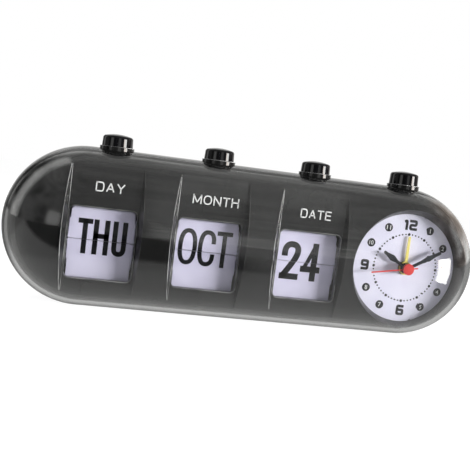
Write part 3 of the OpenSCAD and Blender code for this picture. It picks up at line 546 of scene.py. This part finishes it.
# The font's own outline as a flat mesh, scaled to a height about the origin, and to a width if one is given
def wordMesh(words, width, height):
    curve = bpy.data.curves.new(words, "FONT")
    curve.body, curve.resolution_u = words, 6
    text = bpy.data.objects.new(words, curve)
    scene.collection.objects.link(text)
    bpy.context.view_layer.update()
    mesh = bpy.data.meshes.new_from_object(text.evaluated_get(bpy.context.evaluated_depsgraph_get()))
    bpy.data.objects.remove(text)
    flat = meshPoints(mesh)
    low, high = flat.min(0), flat.max(0)
    tall = height / (high[1] - low[1])
    wide = width / (high[0] - low[0]) if width else tall
    setPoints(mesh, (flat - (low + high) / 2) * (wide, tall, 1.0))
    work = bmesh.new()
    work.from_mesh(mesh)
    bmesh.ops.remove_doubles(work, verts=work.verts, dist=weldDistance)
    work.to_mesh(mesh)
    work.free()
    return mesh


# A flat mesh of right and up stood at depth y: facing the front, or turned to face the rear
def standUp(mesh, x, y, z, side=1):
    flat = meshPoints(mesh)
    return setPoints(mesh, np.stack([side * flat[:, 0] + x, np.full(len(flat), y), flat[:, 1] + z], 1) * mm)


def addPrint(name, mesh, place, finish, side=1):
    addPiece(name, standUp(mesh, *place, side), finish, "case", inkThickness)


# Keeps what lies over or under a level line of a flat mesh
def cutLevel(mesh, level, over):
    work = bmesh.new()
    work.from_mesh(mesh)
    everything = [*work.verts, *work.edges, *work.faces]
    bmesh.ops.bisect_plane(work, geom=everything, dist=cutDistance, plane_co=(0, level, 0),
        plane_no=(0, 1, 0), clear_outer=not over, clear_inner=over)
    work.to_mesh(mesh)
    work.free()


# Ribbon of constant width along a path of straight runs: each corner is a curve that starts within its runs,
# open ends reach on by half the width unless the path is one slanted run, and ends that meet are joined
strokeLook = {"bendPoints": 9, "slant": 0.05, "leastStep": 1e-4}


def strokeGrid(path, width, corner):
    path = np.asarray(path, float)
    runs = np.diff(path, axis=0)
    length = np.linalg.norm(runs, axis=1)
    ways = runs / length[:, None]
    share = np.full(len(runs), 0.5)
    share[0] = share[-1] = 1.0
    reach = np.minimum(corner, length * share)[:, None]
    closed = np.allclose(path[0], path[-1])
    slanted = len(path) == 2 and np.abs(ways[0]).min() > strokeLook["slant"]
    tail = 0.0 if closed or slanted else width / 2
    t = np.linspace(0, 1, strokeLook["bendPoints"])[:, None]
    line = [path[:1] - ways[0] * tail]
    for k, turn in enumerate(path[1:-1]):
        start, end = turn - ways[k] * reach[k], turn + ways[k + 1] * reach[k + 1]
        line.append((1 - t) ** 2 * start + 2 * t * (1 - t) * turn + t ** 2 * end)
    line = np.concatenate(line + [path[-1:] + ways[-1] * tail])
    line = line[np.append(True, np.linalg.norm(np.diff(line, axis=0), axis=1) > strokeLook["leastStep"])]
    along = np.gradient(line, axis=0)
    if closed:
        along[0] = line[1] - line[-2]
        line, along = line[:-1], along[:-1]
    along /= np.linalg.norm(along, axis=1)[:, None]
    across = np.stack([-along[:, 1], along[:, 0]], 1) * width / 2
    count = len(line)
    sides = np.concatenate([line + across, line - across])
    faces = gridFaces(2, count)[:count if closed else count - 1, ::-1]
    return np.concatenate([sides, np.zeros((2 * count, 1))], 1), faces


# Plain letters and digits as strokes in a unit box; every path is curved at its corners, and a number before
# its points is its share of the stroke's width
glyphs = {
    "A": [[(0, 0), (0.5, 1)], [(0.5, 1), (1, 0)], [(0.2, 0.33), (0.8, 0.33)]],
    "C": [[(1, 0.72), (1, 1), (0, 1), (0, 0), (1, 0), (1, 0.26)]],
    "D": [[(0, 0), (0, 1)], [(0, 1), (0.4, 1), (1, 1), (1, 0), (0.4, 0), (0, 0)]],
    "E": [[(0, 0), (0, 1)], [(0, 1), (1, 1)], [(0, 0.52), (0.9, 0.52)], [(0, 0), (1, 0)]],
    "F": [[(0, 0), (0, 1)], [(0, 1), (1, 1)], [(0, 0.52), (0.85, 0.52)]],
    "H": [[(0, 0), (0, 1)], [(1, 0), (1, 1)], [(0, 0.54), (1, 0.54)]],
    "I": [[(0.5, 0), (0.5, 1)]],
    "M": [[(0, 0), (0, 1)], [(0, 1), (0.5, 0.1)], [(0.5, 0.1), (1, 1)], [(1, 0), (1, 1)]],
    "N": [[(0, 0), (0, 1)], [(0, 1), (1, 0)], [(1, 0), (1, 1)]],
    "O": [[(0.5, 1), (0, 1), (0, 0), (1, 0), (1, 1), (0.5, 1)]],
    "R": [[(0, 0), (0, 1)], [(0, 1), (0.5, 1), (1, 1), (1, 0.47), (0.5, 0.47), (0, 0.47)],
        [(0.5, 0.47), (1, 0)]],
    "T": [[(0, 1), (1, 1)], [(0.5, 0), (0.5, 1)]],
    "U": [[(0, 1), (0, 0.4), (0, 0), (1, 0), (1, 0.4), (1, 1)]],
    "V": [[(0, 1), (0.5, 0)], [(0.5, 0), (1, 1)]],
    "Y": [[(0, 1), (0.5, 0.47)], [(1, 1), (0.5, 0.47)], [(0.5, 0), (0.5, 0.47)]],
    "2": [[(0, 0.72), (0, 1), (1, 1), (1, 0.6), (0.1, 0.05)], [(0, 0), (1, 0)]],
    "4": [[0.66, (0.7, 1), (0.03, 0.27)], [(0, 0.27), (1, 0.27)], [(0.73, 0), (0.73, 1)]],
    "5": [[(0.95, 1), (0.1, 1)], [(0.1, 1), (0.04, 0.5)],
        [(0.04, 0.5), (0.3, 0.64), (1, 0.64), (1, 0), (0, 0), (0, 0.22)]]}
letterLook = {"widths": {"I": 0.35, "M": 1.18, "O": 1.1, "E": 0.88, "T": 0.92}, "gap": 0.22, "corner": 99.0}


# Letters set in boxes of left and right edge, between two heights
def strokeWord(name, letters, low, high, stroke):
    shapes = []
    for letter, left, right in letters:
        for path in glyphs[letter]:
            weight = path[0] if isinstance(path[0], float) else 1.0
            points = np.array([p for p in path if isinstance(p, tuple)])
            placed = points * (right - left - stroke, high - low - stroke) + (left, low) + stroke / 2
            shapes.append(strokeGrid(placed, stroke * weight, letterLook["corner"]))
    return joinMesh(name, shapes)


# Boxes of a word spread between two edges in proportion to the letters' usual widths
def spread(word, left, right):
    widths = np.array([letterLook["widths"].get(letter, 1.0) for letter in word])
    gap = letterLook["gap"]
    scale = (right - left) / (widths.sum() + gap * (len(word) - 1))
    starts = left + scale * (np.cumsum(widths) - widths + gap * np.arange(len(word)))
    return [(letter, a, a + w * scale) for letter, a, w in zip(word, starts, widths)]


# Columns: places across are measured from the column's middle, heights from the table
columns = {
    "day": {"cards": 28, "label": "DAY", "labelEdges": (-4.45, 7.35), "labelUp": (48.25, 52.2),
        "now": [("T", -9.8, -3.9), ("H", -3.4, 3.1), ("U", 4.45, 10.4)],
        "next": [("F", -8.6, -3.2), ("R", -2.2, 4.2), ("I", 5.4, 7.2)],
        "up": (22.1, 36.65), "stroke": 2.05, "split": 0.28},
    "month": {"cards": 24, "label": "MONTH", "labelEdges": (-8.7, 10.9), "labelUp": (48.05, 51.9),
        "now": [("O", -12.1, -4.05), ("C", -3.65, 3.85), ("T", 4.1, 10.8)],
        "next": [("N", -11.4, -4.4), ("O", -3.6, 3.9), ("V", 4.3, 11.3)],
        "up": (21.9, 37.4), "stroke": 1.85, "split": 0.28},
    "date": {"cards": 31, "label": "DATE", "labelEdges": (-5.95, 7.8), "labelUp": (47.45, 51.35),
        "now": [("2", -10.9, -2.4), ("4", -1.8, 7.1)],
        "next": [("2", -10.4, -1.9), ("5", -0.4, 8.1)],
        "up": (20.1, 36.8), "stroke": 2.65, "split": 0.22}}
for name, column in columns.items():
    column["x"] = middleOf(name + "_flip_card")[0]
columnLook = {"floor": 14.5, "labelStroke": 0.52}
drumLook = {"axis": middleOf("day_shaft")[1:], "front": 7.65, "rest": 7.4, "face": 0.125, "stripFace": 0.12,
    "rootHalf": 13.3, "rootStart": 0.56, "rootEnd": 0.7, "nextRoot": 0.5,
    "tailHalf": 12.88, "cardEnd": 10.6, "tailUp": 12.3}


# Points of a card (across, out of its face, up from its hinge) carried to where the drum holds it:
# turned by lean about the hinge, set out by the hinge radius, turned by angle about the drum
def cardPoints(local, column, seat):
    radius, angle, lean = seat
    a, b = math.radians(angle), math.radians(lean)
    across, out, up = local.T
    y = out * math.cos(b) - up * math.sin(b) - radius
    z = out * math.sin(b) + up * math.cos(b)
    axisY, axisZ = drumLook["axis"]
    return np.stack([column["x"] + across, axisY + y * math.cos(a) - z * math.sin(a),
        axisZ + y * math.sin(a) + z * math.cos(a)], 1) * mm


# Half of a reading: the upper half on the front of a card, or the lower half on the back of one that hangs
def printHalf(name, letters, column, hinge, root, upper, seat, body):
    side = 1 if upper else -1
    word = strokeWord(name, letters, *column["up"], column["stroke"])
    cutLevel(word, hinge - side * root, upper)
    right, up, _ = meshPoints(word).T
    local = np.stack([right, np.full(len(right), -side * drumLook["face"]), side * (up - hinge)], 1)
    addPiece(name, setPoints(word, cardPoints(local, column, seat)), cardInk, body, inkThickness)


# Strip of a card between two distances from its hinge: at the root, so that only a hair line splits the
# reading, or at the tail of the card that hangs, so that it ends behind the panel
def cardStrip(name, column, half, span, seat, body):
    face = drumLook["stripFace"]
    grid = np.meshgrid((-half, half), (-face, face), span, indexing="ij")
    corners = cardPoints(np.stack([axis.ravel() for axis in grid], 1), column, seat)
    sides = [(0, 1, 3, 2), (4, 6, 7, 5), (0, 4, 5, 1), (2, 3, 7, 6), (0, 2, 6, 4), (1, 5, 7, 3)]
    addPiece(name, joinMesh(name, [(corners, sides)]), finishes["card_white"], body)


# A column's label, its front and hanging cards as they read now, and the next reading behind them
def dressColumn(name, column):
    step = 360 / column["cards"]
    drop = math.sin(math.radians(step))
    front, rest, middle = drumLook["front"], drumLook["rest"], drumLook["axis"][1]
    flip, drum = name + "_flip", name + "_drum"
    flipSeat, restSeat, nextSeat = (front, 0, 0), (rest, step, 180 - step), (rest, -step, step / 2)
    restHinge, fallenHinge = middle - rest * drop, middle - front * drop
    flipRoot, rootStart, rootHalf = drumLook["rootEnd"], drumLook["rootStart"], drumLook["rootHalf"]
    restRoot = rest * drop - flipRoot - column["split"]
    tail = (drumLook["cardEnd"], restHinge - drumLook["tailUp"])
    cardStrip(name + "FlipRoot", column, rootHalf, (-flipRoot, -rootStart), flipSeat, flip)
    cardStrip(name + "RestRoot", column, rootHalf, (-restRoot, -rootStart), restSeat, drum)
    cardStrip(name + "RestTail", column, drumLook["tailHalf"], tail, restSeat, drum)
    letters = spread(column["label"], *column["labelEdges"])
    label = strokeWord(name + "Label", letters, *column["labelUp"], columnLook["labelStroke"])
    addPrint(name + "Label", label, (column["x"], -columnLook["floor"], 0), labelInk)
    now, after = column["now"], column["next"]
    printHalf(name + "UpperPrint", now, column, middle, flipRoot, True, flipSeat, flip)
    printHalf(name + "LowerPrint", now, column, restHinge, restRoot, False, restSeat, drum)
    printHalf(name + "NextUpperPrint", after, column, middle, drumLook["nextRoot"], True, nextSeat, drum)
    printHalf(name + "NextLowerPrint", after, column, fallenHinge, flipRoot, False, flipSeat, flip)


for name, column in columns.items():
    dressColumn(name, column)
print("column labels and readings printed")

barLook = {"sides": 8, "off": (0.31, 0.95, 0.05), "meet": 1e-7}  # off: a direction that no bar follows


# Round bar along a path: rings of a circle set square to the path, closed at both ends or joined in a loop
def barGrid(path, radius):
    sides = barLook["sides"]
    along = np.gradient(path, axis=0)
    looped = np.allclose(path[0], path[-1], atol=barLook["meet"])
    if looped:
        along[0] = path[1] - path[-2]
        path, along = path[:-1], along[:-1]
    along /= np.linalg.norm(along, axis=1)[:, None]
    first = np.cross(along, barLook["off"])
    first /= np.linalg.norm(first, axis=1)[:, None]
    second = np.cross(along, first)
    angle = np.arange(sides)[:, None] * 2 * np.pi / sides
    rings = first[:, None] * np.cos(angle) + second[:, None] * np.sin(angle)
    points = (path[:, None] + radius * rings).reshape(-1, 3)
    faces = list(gridFaces(len(path), sides, looped))
    if not looped:
        faces += [np.arange(sides)[::-1], np.arange(len(points) - sides, len(points))]
    return points, faces


# A piece of round bars, with paths and radius in millimetres
def addBars(name, paths, radius, finish, body):
    mesh = joinMesh(name, [barGrid(path * mm, radius * mm) for path in paths])
    return addPiece(name, mesh, finish, body, smooth=True)


# Crown of the panel: how far it stands to the front at a height, an arc about a long axis
crownLook = {"radius": 146.0, "front": 17.2, "axis": middleOf("front_panel")[2]}


def crownAt(height):
    up = height - crownLook["axis"]
    return crownLook["front"] - crownLook["radius"] + np.sqrt(crownLook["radius"] ** 2 - up ** 2)


# Painted highlights on the edges of a column's left wall: light grey bars along the crown and along the
# floor, and a fainter one on the right
edgeHighlightLook = {"half": 14.2, "slope": 0.7, "reach": 25.2, "points": 41, "radius": 0.13, "rightRadius": 0.1}


def edgeColumn(name, column, look):
    height = crownLook["axis"] + np.linspace(-look["reach"], look["reach"], look["points"])
    crown, floor = crownAt(height), columnLook["floor"]
    wall = column["x"] - look["half"]
    upper = np.stack([wall - look["slope"] * (crown - floor), -crown, height], 1)
    lower = np.stack([np.full_like(height, wall), np.full_like(height, -floor), height], 1)
    right = upper * (-1, 1, 1) + (2 * column["x"], 0, 0)
    addBars(name + "WallEdgeHighlights", [upper, lower], look["radius"], paintedEdgeHighlight, "case")
    addBars(name + "RightEdgeHighlight", [right], look["rightRadius"], paintedFaintHighlight, "case")


# Painted highlight round a window's lip: a grey bar on a rectangle from the middle of its top edge and back,
# with quarter circles as corners
lipHighlightLook = {"half": 13.8, "low": 12.4, "high": 41.8, "corner": 2.25, "cornerPoints": 7, "radius": 0.2}


def lipWindow(name, column, look):
    corner, low, high = look["corner"], look["low"], look["high"]
    quarter = np.linspace(0, np.pi / 2, look["cornerPoints"])
    bow = corner * np.stack([np.sin(quarter), np.cos(quarter)], 1)
    over = bow + (look["half"] - corner, high - corner)
    under = bow[::-1] * (1, -1) + (look["half"] - corner, low + corner)
    half = np.concatenate([[(0, high)], over, under, [(0, low)]])
    right, up = np.concatenate([half, half[-2::-1] * (-1, 1)]).T
    loop = np.stack([right + column["x"], np.full_like(up, -columnLook["floor"]), up], 1)
    addBars(name + "WindowLipHighlight", [loop], look["radius"], paintedDimHighlight, "case")


for name, column in columns.items():
    edgeColumn(name, column, edgeHighlightLook)
    lipWindow(name, column, lipHighlightLook)
print("wall edges and window lips laid")

# Dial prints: strokes, discs and dots on the face of the dial
dialLook = {"x": 71.6, "y": -10.2, "z": 30.5, "turn": -1.3,
    "bigRing": 19.25, "discRing": 20.05, "dotRing": 15.0, "smallNumeral": 1.9, "pairWidth": 1.9,
    "discRadius": 1.85, "discSides": 32, "discRings": 3, "discHub": 0.02,
    "smallDot": 0.37, "bigDot": 0.63, "dotSides": 12, "dotRings": 2,
    "bigHeight": 4.7, "bigWidth": 3.8, "bigGap": 0.1, "pairShift": 0.5, "stroke": 1.18, "corner": 0.55}


# Flat disc as a polar grid: rings from a small hub out to the radius, the hub closed by one face
def discGrid(radius, sides, rings):
    out, angle = np.meshgrid(np.linspace(dialLook["discHub"], 1, rings) * radius,
        np.arange(sides) * 2 * np.pi / sides, indexing="ij")
    points = np.stack([out * np.cos(angle), out * np.sin(angle), np.zeros_like(out)], -1).reshape(-1, 3)
    return points, [*gridFaces(rings, sides)[:, ::-1], np.arange(sides)]


# Square digits of the dial, in a box one wide and two high
dialStrokes = {
    "1": [[(0.56, 1.86), (0.8, 2), (0.8, 0)]],
    "2": [[(0, 2), (1, 2), (1, 1), (0, 1), (0, 0), (1, 0)]],
    "3": [[(0, 2), (1, 2), (1, 0), (0, 0)], [(0.3, 1), (1, 1)]],
    "6": [[(0.92, 2), (0, 2), (0, 0), (1, 0), (1, 1.05), (0, 1.05)]],
    "9": [[(0.08, 0), (1, 0), (1, 2), (0, 2), (0, 0.95), (1, 0.95)]]}


# Digits side by side about the origin; a pair is moved left, because its 1 stands at the right of its box
def bigNumeral(text, look):
    wide, high = look["bigWidth"] - look["stroke"], look["bigHeight"] - look["stroke"]
    pitch, others = look["bigWidth"] + look["bigGap"], len(text) - 1
    shapes = []
    for k, digit in enumerate(text):
        start = (k - others / 2) * pitch - wide / 2 - look["pairShift"] * others
        for path in dialStrokes[digit]:
            placed = np.array(path) * (wide, high / 2) + (start, -high / 2)
            shapes.append(strokeGrid(placed, look["stroke"], look["corner"]))
    return joinMesh("numeral" + text, shapes)


# Place on the dial at an hour and a distance from its middle
def dialSpot(hour, ring):
    angle = math.radians(30 * hour + dialLook["turn"])
    return dialLook["x"] + ring * math.sin(angle), dialLook["z"] + ring * math.cos(angle)


def printDial(look):
    face = look["y"]
    for hour in (12, 3, 6, 9):
        x, z = dialSpot(hour, look["bigRing"])
        addPrint("numeral" + str(hour), bigNumeral(str(hour), look), (x, face, z), dialInk)
    for hour in (1, 2, 4, 5, 7, 8, 10, 11):
        x, z = dialSpot(hour, look["discRing"])
        disc = joinMesh("disc", [discGrid(look["discRadius"], look["discSides"], look["discRings"])])
        addPrint("numeralDisc" + str(hour), disc, (x, face, z), dialInk)
        small = wordMesh(str(hour), 0.0 if hour < 10 else look["pairWidth"], look["smallNumeral"])
        addPrint("numeral" + str(hour), small, (x, face - inkThickness / mm, z), labelInk)
    dots = []
    for minute in range(60):
        x, z = dialSpot(minute / 5, look["dotRing"])
        radius = look["bigDot" if minute % 5 == 0 else "smallDot"]
        points, faces = discGrid(radius, look["dotSides"], look["dotRings"])
        dots.append((points + (x, z, 0), faces))
    addPrint("minuteDots", joinMesh("minuteDots", dots), (0, face, 0), dialInk)


# Painted shade in the dial's opening: a matt black cone laid over the flare, so that its gloss shows no
# reflection of the dial; its radius grows towards the front, and it is cut off at the panel's crown
dialShadeLook = {"radius": 24.12, "rimRadius": 26.0, "grow": 2.6, "depth": 7.0, "from": 10.2, "back": 10.25,
    "short": 0.06, "sides": 96, "rings": 4}


def lineDial(look):
    hubX, _, hubZ = middleOf("minute_pipe")
    turn = np.arange(look["sides"]) * 2 * np.pi / look["sides"]
    rim = crownAt(hubZ + look["rimRadius"] * np.cos(turn)) - look["short"]
    ahead = look["back"] + np.linspace(0, 1, look["rings"])[:, None] * (rim - look["back"])
    out = look["radius"] + look["grow"] * (ahead - look["from"]) / look["depth"]
    cone = np.stack([hubX + out * np.sin(turn), -ahead, hubZ + out * np.cos(turn)], -1).reshape(-1, 3) * mm
    mesh = joinMesh("dialShadeSheet", [(cone, gridFaces(look["rings"], look["sides"])[:, ::-1])])
    addPiece("dialShadeSheet", mesh, finishes["knob_black"], "case", inkThickness)


printDial(dialLook)
lineDial(dialShadeLook)
print("dial printed")

# Return springs: a helix of round wire, flat near both ends, wound between fixed heights
coilLook = {"radius": 3.4, "wire": 0.19, "low": 57.72, "high": 61.56, "travel": 1.8,
    "turns": 4, "flatTurns": 0.7, "steps": 40}


def windSpring(name, x, look):
    height = look["high"] - look["low"]
    turns = np.linspace(0, look["turns"], look["steps"] * look["turns"] + 1)
    climb = np.clip((turns - look["flatTurns"]) / (look["turns"] - 2 * look["flatTurns"]), 0, 1)
    up = look["low"] + look["wire"] + climb * (height - 2 * look["wire"])
    angle = 2 * np.pi * turns
    wire = np.stack([x + look["radius"] * np.cos(angle), look["radius"] * np.sin(angle), up], 1)
    coil = addBars(name + "Coil", [wire], look["wire"], finishes["steel"], "case")
    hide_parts(name + "_spring")
    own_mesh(coil)


# Painted highlight round the mouth of each cap's collar: a light grey bead
collarHighlightLook = {"ring": 7.22, "up": 67.27, "radius": 0.12, "points": 65}


def beadCollar(name, x, look):
    turn = np.linspace(0, 2 * np.pi, look["points"])
    right, back = look["ring"] * np.cos(turn), look["ring"] * np.sin(turn)
    ring = np.stack([x + right, back, np.full_like(turn, look["up"])], 1)
    addBars(name + "CapBeadHighlight", [ring], look["radius"], paintedEdgeHighlight, "case")


caps = {name: middleOf(name + "_spring")[0] for name in ("day", "month", "date", "alarm")}
for name, x in caps.items():
    windSpring(name, x, coilLook)
for name, x in caps.items():
    beadCollar(name, x, collarHighlightLook)
print("springs wound and collars beaded")

# Rear: words by the alarm switch, turning arrows over the knobs, and painted shade in the screw heads' cross
# recesses
rearLook = {"floor": 12.6, "switchUp": 20.35, "words": {"OFF": 61.9, "ON": 80.6}, "wordHeight": 2.1,
    "arrowRing": 6.6, "arrowSpan": (40, 140), "arrowPoints": 15, "arrowStroke": 0.55,
    "arrowHead": [(0.5, 1.3), (-0.9, -1.0), (1.3, -0.6)], "corner": 0.1,
    "screwFace": 21.5, "screwX": (-41.4, 47.35), "screwUp": (15.55, 49.55), "cross": 1.5, "crossStroke": 0.6}


def printRear(look):
    floor = look["floor"]
    for word, x in look["words"].items():
        mesh = wordMesh(word, 0.0, look["wordHeight"])
        addPrint("switch" + word.title(), mesh, (x, floor, look["switchUp"]), labelInk, -1)
    angle = np.radians(np.linspace(*look["arrowSpan"], look["arrowPoints"]))
    arc = look["arrowRing"] * np.stack([np.cos(angle), np.sin(angle)], 1)
    head = (np.column_stack([arc[-1] + look["arrowHead"], np.zeros(3)]), [(0, 1, 2)])
    for side in ("time", "alarm"):
        x, _, up = middleOf(side + "_knob")
        mesh = joinMesh(side + "Arrow", [strokeGrid(arc, look["arrowStroke"], look["corner"]), head])
        addPrint(side + "Arrow", mesh, (x, floor, up), labelInk, -1)
    # dark crosses on the screw heads are painted shade standing in for their cross recesses
    crosses, size = [], look["cross"]
    for x in look["screwX"]:
        for up in look["screwUp"]:
            for path in ([(-size, 0), (size, 0)], [(0, -size), (0, size)]):
                points, faces = strokeGrid(path, look["crossStroke"], look["corner"])
                crosses.append((points + (-x, up, 0), faces))
    mesh = joinMesh("screwRecessShade", crosses)
    addPrint("screwRecessShade", mesh, (0, look["screwFace"], 0), dialInk, -1)


# Ribs across the end of the battery door, bent to the round of the body
doorLook = {"radius": 33.75, "axis": middleOf("battery_door")[2], "bend": 6.5, "points": 15,
    "ribs": (-62.6, -61.0, -59.4, -57.8), "rib": 0.42}


def ribDoor(look):
    bend = np.radians(np.linspace(-look["bend"], look["bend"], look["points"]))
    y, z = look["radius"] * np.cos(bend), look["axis"] + look["radius"] * np.sin(bend)
    paths = [np.stack([np.full_like(bend, x), y, z], 1) for x in look["ribs"]]
    addBars("doorRibs", paths, look["rib"], finishes["housing_black"], "battery_door")


# Copper end of the cell's sleeve: a tube round the cell's axis
cellLook = {"radius": 5.28, "span": (-31.0, -20.2), "sides": 48, "rings": 5}


def bandCell(look):
    _, axisY, axisZ = middleOf("battery")
    x, angle = np.meshgrid(np.linspace(*look["span"], look["rings"]),
        np.arange(look["sides"]) * 2 * np.pi / look["sides"], indexing="ij")
    tube = np.stack([x, axisY + look["radius"] * np.cos(angle), axisZ + look["radius"] * np.sin(angle)], -1)
    mesh = joinMesh("cellBand", [(tube.reshape(-1, 3) * mm, gridFaces(look["rings"], look["sides"]))])
    addPiece("cellBand", mesh, copperSleeve, "case", inkThickness, True)


printRear(rearLook)
ribDoor(doorLook)
bandCell(cellLook)
print("rear dressed")
